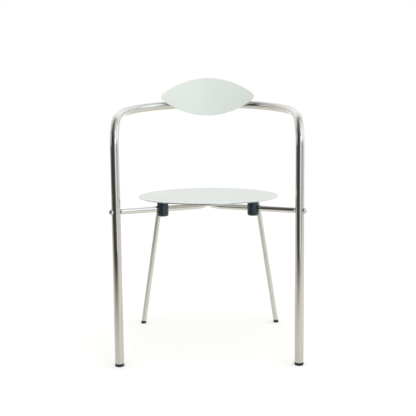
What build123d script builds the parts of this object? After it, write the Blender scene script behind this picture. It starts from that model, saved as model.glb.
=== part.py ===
from build123d import *
import os
from math import cos, radians, sin, sqrt, tan

# Armchair for the patio. It faces -Y, and left and right are as seen from in front of it.
# Lengths are in millimetres, and set-backs are measured from the plane of the front legs.

# Main frame: one bent tube for the front legs, the arms and the back rail
FRAME_TUBE = 25.0
FRAME_WALL = 2.0
LEG_SPACING = 506.0
RAIL_SET_BACK = 415.0
RAIL_HEIGHT = 731.0
ARM_RISE_ANGLE = 6.1
ELBOW_RADIUS = 82.0

# Under-seat tubes: each meets a front leg, nears its twin in the middle and ends as a rear leg
UNDER_TUBE = 16.0
UNDER_WALL = 1.5
FRONT_RUN_ANGLE = 26.0
FRONT_CURVE_RADIUS = 60.0
MEETING_GAP = 4.0
MEETING_LENGTH = 51.5
REAR_RUN_ANGLE = 38.0
REAR_CURVE_RADIUS = 130.0
REAR_LEG_SPREAD = 311.0
REAR_ELBOW_RADIUS = 40.0
REAR_FOOT_SPREAD = 446.0
REAR_FOOT_SET_BACK = 452.0

# Seat
SEAT_HEIGHT = 460.5
SEAT_DIAMETER = 416.0
SEAT_SET_BACK = 200.0
SEAT_THICKNESS = 3.0
SEAT_EDGE = 1.2

# Moulded mounts between the under-seat tubes and the seat
MOUNT_DIAMETER = 32.0
MOUNT_HEIGHT = 39.5
MOUNT_BOTTOM_ROUND = 5.0
MOUNT_TOP_ROUND = 1.0
MOUNT_TUBE_DEPTH = 18.7
MOUNT_EDGE_INSET = 19.5
COLLAR_WALL = 0.9
COLLAR_REACH = 20.5
COLLAR_ROUND = 0.6

# Leaf-shaped back plate
LEAF_HEIGHT = 118.0
LEAF_EDGE_RADIUS = 226.0
LEAF_TIP_RADIUS = 14.0
LEAF_RISE = 22.5
LEAF_THICKNESS = 3.0
LEAF_EDGE = 0.9
LEAF_STUD_ANGLE = 22.0
PAD_DIAMETER = 18.0
PAD_THICKNESS = 2.5

# Studs, nuts and plugs
STUD = 6.0
LEG_NUT_BALL = 16.5
LEG_NUT_STANDOFF = 0.0
SMALL_NUT_BALL = 12.0
SMALL_NUT_STANDOFF = 0.8
NUT_BLIND_DEPTH = 2.5
PLUG_LENGTH = 26.0
PLUG_THREAD_DEPTH = 18.0
STUD_FLANGE = 8.0
STUD_FLANGE_THICKNESS = 1.0
HEX_NUT = 10.0
HEX_NUT_THICKNESS = 5.0
WASHER_DIAMETER = 12.0
WASHER_THICKNESS = 1.2
NUT_RECESS = 0.5
SPACER_DIAMETER = 16.0
SPACER_WRAP = 1.5

# Feet
FOOT_HEIGHT = 7.0
FOOT_ROUND = 3.5
FOOT_OVERHANG = 0.4
REAR_FOOT_HEIGHT = 8.0
REAR_FOOT_ROUND = 2.0
SPIGOT_LENGTH = 20.0
SPIGOT_RIBS = 3
SPIGOT_RIB_DEPTH = 0.8

# Clearances
TUBE_FIT = 0.2
PLUG_FIT = 0.15
STUD_FIT = 0.15
HOLE_FIT = 0.3

SIDES = {"left": -1, "right": 1}

# Values that follow from the ones above
X_AXIS = Vector(1, 0, 0)
Y_AXIS = Vector(0, 1, 0)
Z_AXIS = Vector(0, 0, 1)
frame_radius = FRAME_TUBE / 2
frame_bore = FRAME_TUBE - 2 * FRAME_WALL
half_legs = LEG_SPACING / 2
rise = radians(ARM_RISE_ANGLE)
arm_run = Vector(0, cos(rise), sin(rise))
rail_corner = Vector(half_legs, RAIL_SET_BACK, RAIL_HEIGHT)
arm_corner = rail_corner - arm_run * (RAIL_SET_BACK / cos(rise))
rail_centre = rail_corner - arm_run * half_legs - X_AXIS * half_legs
leaf_centre_height = RAIL_HEIGHT + LEAF_RISE

seat_underside = SEAT_HEIGHT - SEAT_THICKNESS
mount_bottom = seat_underside - MOUNT_HEIGHT
pocket_depth = WASHER_THICKNESS + HEX_NUT_THICKNESS + NUT_RECESS
pocket_ceiling = mount_bottom + pocket_depth

under_radius = UNDER_TUBE / 2
under_bore = UNDER_TUBE - 2 * UNDER_WALL
under_height = seat_underside - MOUNT_TUBE_DEPTH
meeting_offset = under_radius + MEETING_GAP / 2
front_angle = radians(FRONT_RUN_ANGLE)
rear_angle = radians(REAR_RUN_ANGLE)
front_run = Vector(-cos(front_angle), sin(front_angle), 0)
rear_run = Vector(sin(rear_angle), cos(rear_angle), 0)
front_set_back = FRONT_CURVE_RADIUS * tan((radians(90) - front_angle) / 2)
rear_set_back = REAR_CURVE_RADIUS * tan(rear_angle / 2)
leg_joint = Vector(half_legs, 0, under_height)
front_corner = leg_joint + front_run * ((half_legs - meeting_offset) / cos(front_angle))
meeting = front_corner + Y_AXIS * (front_set_back + MEETING_LENGTH / 2)
middle_corner = meeting + Y_AXIS * (MEETING_LENGTH / 2 + rear_set_back)
rear_corner = middle_corner + rear_run * ((REAR_LEG_SPREAD / 2 - meeting_offset) / sin(rear_angle))
rear_foot_point = Vector(REAR_FOOT_SPREAD / 2, REAR_FOOT_SET_BACK, 0)
rear_leg_run = (rear_foot_point - rear_corner).normalized()
rear_leg_end = rear_foot_point - rear_leg_run * REAR_FOOT_HEIGHT
seat_centre = Vector(0, SEAT_SET_BACK, under_height)
mount_circle = SEAT_DIAMETER / 2 - MOUNT_EDGE_INSET

rail_stud_point = rail_centre + (X_AXIS * sin(radians(LEAF_STUD_ANGLE))
                                 + arm_run * cos(radians(LEAF_STUD_ANGLE))) * half_legs
rail_stud_reach = Vector(rail_stud_point.X, rail_stud_point.Y - rail_centre.Y, 0)
rail_stud_run = rail_stud_reach.normalized()
leaf_rear_radius = rail_stud_reach.length - frame_radius - PAD_THICKNESS

thread_bore = STUD + 2 * STUD_FIT
stud_hole = STUD + 2 * HOLE_FIT
flange_recess = STUD_FLANGE + 2 * HOLE_FIT


def on_side(shape, side):
    """Put a shape drawn on the right on the asked side."""
    return shape if side > 0 else mirror(shape, about=Plane.YZ)


def on_both_sides(shapes):
    """Group shapes drawn on the right with their twins on the left."""
    return Compound([on_side(shape, side) for shape in shapes for side in SIDES.values()])


def mount_on(start, run, toward_edge):
    """Point of a straight run that lies on the circle of the mounts, near the edge of the seat."""
    along = (seat_centre - start).dot(run)
    aside = (start + run * along - seat_centre).length
    return start + run * (along + toward_edge * sqrt(mount_circle ** 2 - aside ** 2))


front_mount = mount_on(leg_joint, front_run, -1)
rear_mount = mount_on(middle_corner, rear_run, 1)


def bent_path(corners, radii):
    """Centreline through the corners, with each inner corner rounded to its bend radius."""
    edges = []
    start = corners[0]
    for before, corner, after, radius in zip(corners, corners[1:], corners[2:], radii):
        toward = (corner - before).normalized()
        onward = (after - corner).normalized()
        half_turn = radians(toward.get_angle(onward)) / 2
        set_back = radius * tan(half_turn)
        bend_start = corner - toward * set_back
        bend_end = corner + onward * set_back
        bend_middle = corner + (onward - toward).normalized() * radius * (1 / cos(half_turn) - 1)
        if (bend_start - start).length > TUBE_FIT:
            edges.append(Edge.make_line(start, bend_start))
        edges.append(Edge.make_three_point_arc(bend_start, bend_middle, bend_end))
        start = bend_end
    edges.append(Edge.make_line(start, corners[-1]))
    return Wire(edges)


def tube(path, diameter, bore):
    """Hollow tube along a centreline."""
    end = Plane(origin=path @ 0, z_dir=path % 0)
    return sweep(end * (Circle(diameter / 2) - Circle(bore / 2)), path=path)


def rod(start, direction, length, diameter):
    """Round bar from a point along a direction."""
    return Plane(origin=start, z_dir=direction) * extrude(Circle(diameter / 2), length)


def through_rod(middle, direction, length, diameter):
    """Round bar that reaches equally far to both sides of a point."""
    return rod(middle - direction * (length / 2), direction, length, diameter)


def rail_ring(radius):
    """Solid ring that follows the curve of the back rail."""
    return Plane(origin=rail_centre, z_dir=X_AXIS.cross(arm_run)) * Torus(half_legs, radius)


def main_frame():
    """Front legs, arms and back rail in one tube, drilled for the studs."""
    right = [Vector(half_legs, 0, FOOT_HEIGHT), arm_corner, rail_corner]
    left = [Vector(-point.X, point.Y, point.Z) for point in reversed(right)]
    path = bent_path(right + left, [ELBOW_RADIUS, half_legs, half_legs, ELBOW_RADIUS])
    frame = tube(path, FRAME_TUBE, frame_bore)
    for side in SIDES.values():
        frame -= on_side(through_rod(leg_joint, front_run, 2 * FRAME_TUBE, stud_hole), side)
        frame -= on_side(through_rod(rail_stud_point, rail_stud_run, 2 * FRAME_TUBE, stud_hole), side)
    return frame


def under_tube():
    """Under-seat tube with its rear leg, coped to the front leg and drilled for studs and bolt."""
    path = bent_path(
        [leg_joint, front_corner, middle_corner, rear_corner, rear_leg_end],
        [FRONT_CURVE_RADIUS, REAR_CURVE_RADIUS, REAR_ELBOW_RADIUS])
    bar = tube(path, UNDER_TUBE, under_bore)
    bar -= leg_saddle()
    for mount in (front_mount, rear_mount):
        bar -= through_rod(mount, Z_AXIS, 2 * UNDER_TUBE, stud_hole)
    bar -= through_rod(meeting, X_AXIS, 2 * UNDER_TUBE, stud_hole)
    return bar


def leg_saddle():
    """Space that the right front leg takes up, with its clearance, near its stud."""
    return through_rod(leg_joint, Z_AXIS, 4 * FRAME_TUBE, FRAME_TUBE + 2 * TUBE_FIT)


def end_plug():
    """Threaded plug in the front end of an under-seat tube."""
    plug = rod(leg_joint, front_run, frame_radius + PLUG_LENGTH, under_bore - 2 * PLUG_FIT)
    plug -= leg_saddle()
    return plug - rod(leg_joint, front_run, frame_radius + PLUG_LENGTH, thread_bore)


def ball_nut(joint, direction, tube_radius, ball, standoff, saddle):
    """Ball-shaped cap nut, hollowed to sit on the tube that it holds."""
    reach = tube_radius + standoff
    centre = joint + direction * reach
    nut = Pos(centre.X, centre.Y, centre.Z) * Sphere(ball / 2) - saddle
    return nut - rod(joint, direction, reach + NUT_BLIND_DEPTH, thread_bore)


def leg_stud():
    """Stud from the end plug through the front leg into the cap nut."""
    inner = frame_radius + PLUG_THREAD_DEPTH
    outer = frame_radius + LEG_NUT_STANDOFF + NUT_BLIND_DEPTH - STUD_FIT
    return rod(leg_joint + front_run * inner, -front_run, inner + outer, STUD)


def seat_plate():
    """Round seat with eased edges."""
    blank = Pos(0, SEAT_SET_BACK, seat_underside) * extrude(Circle(SEAT_DIAMETER / 2), SEAT_THICKNESS)
    return fillet(blank.edges(), SEAT_EDGE)


def seat_mount(centre, to_leg):
    """Moulded mount with a bore for its tube, a collar on the leg side and a pocket below for the nut."""
    body = Pos(centre.X, centre.Y, mount_bottom) * extrude(Circle(MOUNT_DIAMETER / 2), MOUNT_HEIGHT)
    body = fillet(body.edges().group_by(Axis.Z)[0], MOUNT_BOTTOM_ROUND)
    body = fillet(body.edges().group_by(Axis.Z)[-1], MOUNT_TOP_ROUND)
    top = Vector(centre.X, centre.Y, seat_underside)
    base = Vector(centre.X, centre.Y, mount_bottom)
    collar = rod(centre, to_leg, COLLAR_REACH, UNDER_TUBE + 2 * COLLAR_WALL)
    mouth = collar.faces().sort_by(Axis(centre, to_leg))[-1]
    body += fillet(mouth.edges(), COLLAR_ROUND)
    body -= through_rod(centre, to_leg, 2 * MOUNT_DIAMETER, UNDER_TUBE + 2 * TUBE_FIT)
    body -= rod(base, Z_AXIS, MOUNT_HEIGHT, stud_hole)
    body -= rod(top, -Z_AXIS, STUD_FLANGE_THICKNESS + HOLE_FIT, flange_recess)
    return body - rod(base, Z_AXIS, pocket_depth, WASHER_DIAMETER + 2 * HOLE_FIT)


def weld_stud(start, direction, length):
    """Stud with the small flange by which it is welded to a plate."""
    flange = rod(start, direction, STUD_FLANGE_THICKNESS, STUD_FLANGE)
    return flange + rod(start, direction, length, STUD)


def seat_fixing(mount):
    """Stud, washer and nut that hold the seat to one mount."""
    top = Vector(mount.X, mount.Y, seat_underside)
    stud = weld_stud(top, -Z_AXIS, MOUNT_HEIGHT - NUT_RECESS)
    ceiling = Vector(mount.X, mount.Y, pocket_ceiling)
    washer = rod(ceiling, -Z_AXIS, WASHER_THICKNESS, WASHER_DIAMETER)
    washer -= rod(ceiling, -Z_AXIS, WASHER_THICKNESS, stud_hole)
    hexagon = RegularPolygon(HEX_NUT / 2, 6, major_radius=False) - Circle(thread_bore / 2)
    nut_top = ceiling - Z_AXIS * WASHER_THICKNESS
    nut = Plane(origin=nut_top, z_dir=-Z_AXIS) * extrude(hexagon, HEX_NUT_THICKNESS)
    return stud, washer, nut


def back_plate():
    """Leaf-shaped plate, rolled to the curve of the rail."""
    half_height = LEAF_HEIGHT / 2
    tip = sqrt(half_height * (2 * LEAF_EDGE_RADIUS - half_height))
    outline = [ThreePointArc((-tip, 0), (0, half_height), (tip, 0)),
               ThreePointArc((tip, 0), (0, -half_height), (-tip, 0))]
    leaf = make_face(outline)
    leaf = fillet(leaf.vertices(), LEAF_TIP_RADIUS)
    facing_back = Plane(origin=(0, rail_centre.Y, leaf_centre_height), x_dir=(1, 0, 0), z_dir=(0, 1, 0))
    blank = facing_back * extrude(leaf, 2 * leaf_rear_radius)
    ring = Circle(leaf_rear_radius) - Circle(leaf_rear_radius - LEAF_THICKNESS)
    rolled = Pos(0, rail_centre.Y, leaf_centre_height - LEAF_HEIGHT) * extrude(ring, 2 * LEAF_HEIGHT)
    return fillet((blank & rolled).edges(), LEAF_EDGE)


def back_pad():
    """Shaped pad between the back plate and the rail."""
    inner = rail_stud_point - rail_stud_run * (frame_radius + PAD_THICKNESS)
    pad = rod(inner, rail_stud_run, frame_radius + PAD_THICKNESS, PAD_DIAMETER)
    pad -= rail_ring(frame_radius + TUBE_FIT)
    pad -= Pos(0, rail_centre.Y, RAIL_HEIGHT) * Cylinder(leaf_rear_radius + TUBE_FIT, LEAF_HEIGHT)
    pad -= rod(inner, rail_stud_run, STUD_FLANGE_THICKNESS + HOLE_FIT, flange_recess)
    return pad - rod(inner, rail_stud_run, frame_radius + PAD_THICKNESS, stud_hole)


def back_stud():
    """Stud from the back plate through pad and rail into its cap nut."""
    start = Vector(0, rail_centre.Y, rail_stud_point.Z) + rail_stud_run * leaf_rear_radius
    length = PAD_THICKNESS + FRAME_TUBE + SMALL_NUT_STANDOFF + NUT_BLIND_DEPTH - STUD_FIT
    return weld_stud(start, rail_stud_run, length)


def centre_spacer():
    """Spacer that keeps the two under-seat tubes apart where they meet."""
    middle = Vector(0, meeting.Y, meeting.Z)
    spacer = through_rod(middle, X_AXIS, MEETING_GAP + 2 * SPACER_WRAP, SPACER_DIAMETER)
    for side in SIDES.values():
        spacer -= on_side(meeting_saddle(), side)
    return spacer - through_rod(middle, X_AXIS, 2 * meeting_offset, stud_hole)


def meeting_saddle():
    """Space that the right under-seat tube takes up, with its clearance, where the tubes meet."""
    return through_rod(meeting, Y_AXIS, 2 * SPACER_DIAMETER, UNDER_TUBE + 2 * TUBE_FIT)


def centre_bolt():
    """Bolt with a ball head on the right tube that ends in the nut on the left one."""
    reach = under_radius + SMALL_NUT_STANDOFF
    head_centre = meeting + X_AXIS * reach
    head = Pos(head_centre.X, head_centre.Y, head_centre.Z) * Sphere(SMALL_NUT_BALL / 2) - meeting_saddle()
    shank_length = 2 * (meeting_offset + reach) + NUT_BLIND_DEPTH - STUD_FIT
    return head + rod(head_centre, -X_AXIS, shank_length, STUD)


def spigot(root, direction, bore):
    """Ribbed stem of a foot cap inside its tube."""
    tip_diameter = bore - 2 * PLUG_FIT
    stem = rod(root, direction, SPIGOT_LENGTH, tip_diameter - 2 * SPIGOT_RIB_DEPTH)
    pitch = SPIGOT_LENGTH / (2 * SPIGOT_RIBS)
    for rib in range(SPIGOT_RIBS):
        stem += rod(root + direction * pitch * (2 * rib + 1), direction, pitch, tip_diameter)
    return stem


def front_foot():
    """Foot cap of the right front leg."""
    base = Vector(half_legs, 0, 0)
    cap = rod(base, Z_AXIS, FOOT_HEIGHT, FRAME_TUBE + 2 * FOOT_OVERHANG)
    cap = fillet(cap.edges().group_by(Axis.Z)[0], FOOT_ROUND)
    return cap + spigot(base + Z_AXIS * FOOT_HEIGHT, Z_AXIS, frame_bore)


def rear_foot():
    """Foot cap of the right rear leg, with its sole level on the floor."""
    cap = rod(rear_leg_end, rear_leg_run, 2 * REAR_FOOT_HEIGHT, UNDER_TUBE + 2 * FOOT_OVERHANG)
    floor = Pos(rear_foot_point.X, rear_foot_point.Y, -2 * UNDER_TUBE) * Box(
        4 * UNDER_TUBE, 4 * UNDER_TUBE, 4 * UNDER_TUBE)
    cap = cap - floor
    cap = fillet(cap.edges().group_by(Axis.Z)[0], REAR_FOOT_ROUND)
    return cap + spigot(rear_leg_end, -rear_leg_run, under_bore)


nodes = {
    "main_frame_tube": main_frame(),
    "seat_plate": seat_plate(),
    "back_plate": back_plate(),
    "centre_spacer": centre_spacer(),
    "centre_bolt": centre_bolt(),
    "centre_nut": on_side(ball_nut(
        meeting, X_AXIS, under_radius, SMALL_NUT_BALL, SMALL_NUT_STANDOFF, meeting_saddle()), SIDES["left"]),
}
right_pieces = {
    "underframe_tube": under_tube(),
    "tube_end_plug": end_plug(),
    "leg_stud": leg_stud(),
    "leg_cap_nut": ball_nut(
        leg_joint, -front_run, frame_radius, LEG_NUT_BALL, LEG_NUT_STANDOFF, leg_saddle()),
    "seat_mount_front": seat_mount(front_mount, -front_run),
    "seat_mount_rear": seat_mount(rear_mount, rear_run),
    "back_pad": back_pad(),
    "front_foot": front_foot(),
    "rear_foot": rear_foot(),
}
for name, piece in right_pieces.items():
    for side_name, side in SIDES.items():
        nodes[f"{name}_{side_name}"] = on_side(piece, side)

seat_studs, seat_washers, seat_nuts = zip(*[seat_fixing(mount) for mount in (front_mount, rear_mount)])
nodes["seat_studs"] = on_both_sides(seat_studs)
nodes["seat_washers"] = on_both_sides(seat_washers)
nodes["seat_nuts"] = on_both_sides(seat_nuts)
nodes["back_studs"] = on_both_sides([back_stud()])
nodes["back_cap_nuts"] = on_both_sides([ball_nut(
    rail_stud_point, rail_stud_run, frame_radius, SMALL_NUT_BALL, SMALL_NUT_STANDOFF,
    rail_ring(frame_radius + TUBE_FIT))])

# The origin is on the floor, under the middle of the chair
box = Compound(list(nodes.values())).bounding_box()
to_origin = Pos(-box.center().X, -box.center().Y, -box.min.Z)
os.makedirs("parts", exist_ok=True)
for name, piece in nodes.items():
    export_step(to_origin * piece, f"parts/{name}.step")
print(f"overall {box.size.X:.1f} x {box.size.Y:.1f} x {box.size.Z:.1f}, set-back of origin {box.center().Y:.3f}")
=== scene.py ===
import logging
import math
from dataclasses import dataclass, field
from enum import Enum
from typing import Any, Optional

import bmesh
import bpy
from bpy.types import ID, Material, Mesh, Node, NodeSocket, NodeTree, Object, World
from mathutils import Matrix, Vector


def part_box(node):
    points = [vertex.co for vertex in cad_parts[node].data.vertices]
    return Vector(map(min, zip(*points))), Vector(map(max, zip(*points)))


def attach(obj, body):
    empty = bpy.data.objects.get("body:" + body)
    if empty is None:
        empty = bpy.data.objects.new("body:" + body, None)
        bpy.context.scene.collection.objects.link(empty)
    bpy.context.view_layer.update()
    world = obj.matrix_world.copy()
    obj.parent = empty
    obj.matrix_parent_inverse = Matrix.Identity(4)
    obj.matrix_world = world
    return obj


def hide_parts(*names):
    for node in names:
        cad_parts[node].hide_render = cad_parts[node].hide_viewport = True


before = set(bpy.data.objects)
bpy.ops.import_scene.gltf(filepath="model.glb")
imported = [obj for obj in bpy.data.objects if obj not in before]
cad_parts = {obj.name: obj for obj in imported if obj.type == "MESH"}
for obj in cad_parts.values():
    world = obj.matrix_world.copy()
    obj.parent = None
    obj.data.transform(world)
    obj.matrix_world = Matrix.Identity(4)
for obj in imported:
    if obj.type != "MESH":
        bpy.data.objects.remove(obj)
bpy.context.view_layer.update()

Triple = tuple[float, float, float]
Route = list[tuple[Vector, float]]

LOG = logging.getLogger("patio_chair")
MM = 0.001
ROOT = "root"
WHITE = "#FFFFFF"
# The sRGB curve
BYTE_TOP = 255
SRGB_TOE = 0.04045
SRGB_TOE_SLOPE = 12.92
SRGB_SHIFT = 0.055
SRGB_POWER = 2.4
# Attributes that the points of a mesh carry
STRAIGHT = "straightened"
BEND = "bend_radius"
TURN = "nut_turn"
# What a vector keeps when it is laid level, and the side of a skin that its wall is on
LEVEL = (1, 1, 0)
INWARD = -1
# Six flats, and faces that slope off at their rims
NUT_FLATS = 6
RIM_CONE = math.radians(30.0)


class Side(Enum):
    """Side of the chair as seen from in front of it."""

    LEFT = -1
    RIGHT = 1

    @property
    def label(self) -> str:
        """Ending of the names of the pieces on this side."""
        return self.name.lower()


class Space(Enum):
    """Coordinates that a finish draws its pattern in."""

    OBJECT = "where the point is on the chair"
    TUBE = "where the point was on the tube before bending"


class Given(Enum):
    """Kinds of input that a geometry tree takes."""

    SIZE = "NodeSocketFloat"
    COUNT = "NodeSocketInt"
    FINISH = "NodeSocketMaterial"


def linear(colour: str) -> tuple[float, float, float, float]:
    """Turn an sRGB hex colour into linear light.

    Args:
        colour: Six hex digits after a hash sign.

    Returns:
        Red, green, blue and an alpha of one.
    """
    channels = [byte / BYTE_TOP for byte in bytes.fromhex(colour[1:])]
    red, green, blue = (
        c / SRGB_TOE_SLOPE if c <= SRGB_TOE else ((c + SRGB_SHIFT) / (1 + SRGB_SHIFT)) ** SRGB_POWER
        for c in channels)
    return (red, green, blue, 1.0)


def per_metre(*sizes: float) -> tuple[float, ...]:
    """Turn pattern sizes in millimetres into scales for coordinates in metres."""
    return tuple(1 / (size * MM) for size in sizes)


def feed(tree: NodeTree, node: Node, inputs: dict[Any, Any]) -> None:
    """Set or link the inputs of a node.

    Args:
        tree: Node tree that holds the node.
        node: The node.
        inputs: Value, source socket or source node for each input, by name or place. A source
            node gives its first output that is in use.
    """
    for key, value in inputs.items():
        if isinstance(value, Node):
            value = next(output for output in value.outputs if output.enabled)
        if isinstance(value, NodeSocket):
            tree.links.new(value, node.inputs[key])
        else:
            node.inputs[key].default_value = value


def add_node(tree: NodeTree, kind: str, inputs: Optional[dict[Any, Any]] = None,
             **settings: Any) -> Node:
    """Add a node with its settings and links.

    Args:
        tree: Node tree that takes the node.
        kind: Blender's name for the kind of node.
        inputs: What its inputs are fed with.
        settings: Properties of the node itself.

    Returns:
        The new node.
    """
    node = tree.nodes.new(kind)
    for name, value in settings.items():
        setattr(node, name, value)
    feed(tree, node, inputs or {})
    return node


def bare_tree(owner: Material | World) -> NodeTree:
    """Empty the node tree of a material or a world.

    Args:
        owner: The material or world.

    Returns:
        Its tree.
    """
    owner.use_nodes = True
    owner.node_tree.nodes.clear()
    return owner.node_tree


def put(name: str, data: ID) -> Object:
    """Put a new object in the scene.

    Args:
        name: Name of the object.
        data: Its mesh, camera or lamp.

    Returns:
        The object.
    """
    made = bpy.data.objects.new(name, data)
    bpy.context.collection.objects.link(made)
    return made


@dataclass(frozen=True)
class Finish:
    """A real material and the way its surface was made."""

    name: str
    colour: str
    roughness: float
    space: Space = Space.OBJECT
    metallic: float = 0.0

    def material(self) -> Material:
        """Make the Blender material on its first use.

        Returns:
            The material.
        """
        known = bpy.data.materials.get(self.name)
        if known:
            return known
        made = bpy.data.materials.new(self.name)
        tree = bare_tree(made)
        shader = add_node(tree, "ShaderNodeBsdfPrincipled", {
            "Base Color": linear(self.colour), "Roughness": self.roughness, "Metallic": self.metallic})
        add_node(tree, "ShaderNodeOutputMaterial", {"Surface": shader})
        if self.space is Space.TUBE:
            place = add_node(tree, "ShaderNodeAttribute", attribute_name=STRAIGHT).outputs["Vector"]
        else:
            place = add_node(tree, "ShaderNodeTexCoord").outputs["Object"]
        self.detail(tree, shader, place)
        return made

    def detail(self, tree: NodeTree, shader: Node, place: NodeSocket) -> None:
        """Draw the pattern of the surface, in coordinates in metres."""
        raise NotImplementedError


@dataclass(frozen=True)
class BuffedMetal(Finish):
    """Metal that was ground or turned, then buffed.

    It gives a mirror, clear or soft. A faint haze drifts over it in patches, and the fine lines
    that the belt or the tool left break up the edges of what it mirrors.
    """

    metallic: float = 1.0
    haze: float = 0.04
    haze_size: Triple = (14.0, 14.0, 90.0)
    haze_octaves: float = 3.0
    haze_grain: float = 0.55
    haze_span: tuple[float, float] = (0.35, 0.7)
    line_size: Triple = (0.5, 0.5, 120.0)
    line_octaves: float = 2.0
    line_grain: float = 0.6
    line_depth: float = 0.009
    shade_colour: str = "#D6D4CE"
    ground: float = 0.0
    ground_from: float = 0.0
    ground_to: float = 1.0

    def detail(self, tree: NodeTree, shader: Node, place: NodeSocket) -> None:
        """Draw the haze, the stretch that was left ground and the fine lines.

        Args:
            tree: Node tree of the material.
            shader: Its shader.
            place: Coordinates to draw the pattern in, in metres.
        """
        patches = add_node(tree, "ShaderNodeMapping", {
            "Vector": place, "Scale": per_metre(*self.haze_size)})
        haze = add_node(tree, "ShaderNodeTexNoise", {
            "Vector": patches, "Scale": 1.0, "Detail": self.haze_octaves, "Roughness": self.haze_grain})
        low, high = self.haze_span
        dulled = add_node(tree, "ShaderNodeMapRange", {
            "Value": haze, "From Min": low, "From Max": high,
            "To Min": self.roughness - self.haze / 2, "To Max": self.roughness + self.haze})
        along = add_node(tree, "ShaderNodeSeparateXYZ", {"Vector": place})
        unbuffed = add_node(tree, "ShaderNodeMapRange", {
            "Value": along.outputs["Z"], "From Min": self.ground_from * MM,
            "From Max": self.ground_to * MM, "To Max": self.ground})
        blur = add_node(tree, "ShaderNodeMath", {0: dulled, 1: unbuffed}, operation="ADD")
        shade = add_node(tree, "ShaderNodeMix", {
            "Factor": haze, "A": linear(self.colour), "B": linear(self.shade_colour)}, data_type="RGBA")
        # The real lines are about 0.1 mm apart and are drawn coarser, so that they show
        stretched = add_node(tree, "ShaderNodeMapping", {
            "Vector": place, "Scale": per_metre(*self.line_size)})
        lines = add_node(tree, "ShaderNodeTexNoise", {
            "Vector": stretched, "Scale": 1.0, "Detail": self.line_octaves, "Roughness": self.line_grain})
        bump = add_node(tree, "ShaderNodeBump", {
            "Height": lines, "Strength": 1.0, "Distance": self.line_depth * MM})
        feed(tree, shader, {"Base Color": shade, "Roughness": blur, "Normal": bump})


@dataclass(frozen=True)
class ZincPlated(Finish):
    """Turned steel with bright zinc plating.

    It gives a soft grey mirror, mottled where the zinc grew in small crystals.
    """

    metallic: float = 1.0
    crystal: float = 0.9
    dark_colour: str = "#9A9EA3"
    dulling: float = 0.14

    def detail(self, tree: NodeTree, shader: Node, place: NodeSocket) -> None:
        """Draw the zinc crystals.

        Args:
            tree: Node tree of the material.
            shader: Its shader.
            place: Coordinates to draw the pattern in, in metres.
        """
        cells = add_node(tree, "ShaderNodeTexVoronoi", {
            "Vector": place, "Scale": per_metre(self.crystal)[0]})
        grey = add_node(tree, "ShaderNodeSeparateXYZ", {"Vector": cells.outputs["Color"]})
        mottled = add_node(tree, "ShaderNodeMix", {
            "Factor": grey.outputs["X"], "A": linear(self.colour), "B": linear(self.dark_colour)},
            data_type="RGBA")
        uneven = add_node(tree, "ShaderNodeMapRange", {
            "Value": grey.outputs["Y"], "To Min": self.roughness, "To Max": self.roughness + self.dulling})
        feed(tree, shader, {"Base Color": mottled, "Roughness": uneven})


@dataclass(frozen=True)
class PowderCoat(Finish):
    """Satin powder coat, sprayed and baked.

    It gives an even, soft sheen whose edges waver, because the coat levels into a low orange peel.
    """

    peel: float = 2.4
    peel_depth: float = 0.022
    grain: float = 0.6
    grain_depth: float = 0.006
    wave_octaves: float = 1.0
    cloud: float = 85.0
    cloud_octaves: float = 3.0
    cloud_span: tuple[float, float] = (0.3, 0.7)
    smoother: float = 0.04
    rougher: float = 0.06
    thin_colour: str = "#E2E9E3"

    def detail(self, tree: NodeTree, shader: Node, place: NodeSocket) -> None:
        """Draw the orange peel, its fine grain and the cloudy thickness of the coat.

        Args:
            tree: Node tree of the material.
            shader: Its shader.
            place: Coordinates to draw the pattern in, in metres.
        """
        cloud = add_node(tree, "ShaderNodeTexNoise", {
            "Vector": place, "Scale": per_metre(self.cloud)[0], "Detail": self.cloud_octaves})
        coat = add_node(tree, "ShaderNodeMix", {
            "Factor": cloud, "A": linear(self.colour), "B": linear(self.thin_colour)}, data_type="RGBA")
        low, high = self.cloud_span
        sheen = add_node(tree, "ShaderNodeMapRange", {
            "Value": cloud, "From Min": low, "From Max": high,
            "To Min": self.roughness - self.smoother, "To Max": self.roughness + self.rougher})
        relief: dict[str, Node] = {}
        for size, depth in ((self.peel, self.peel_depth), (self.grain, self.grain_depth)):
            waves = add_node(tree, "ShaderNodeTexNoise", {
                "Vector": place, "Scale": per_metre(size)[0], "Detail": self.wave_octaves})
            relief["Normal"] = add_node(tree, "ShaderNodeBump", {
                "Height": waves, "Distance": depth * MM, **relief})
        feed(tree, shader, {"Base Color": coat, "Roughness": sheen, **relief})


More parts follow.
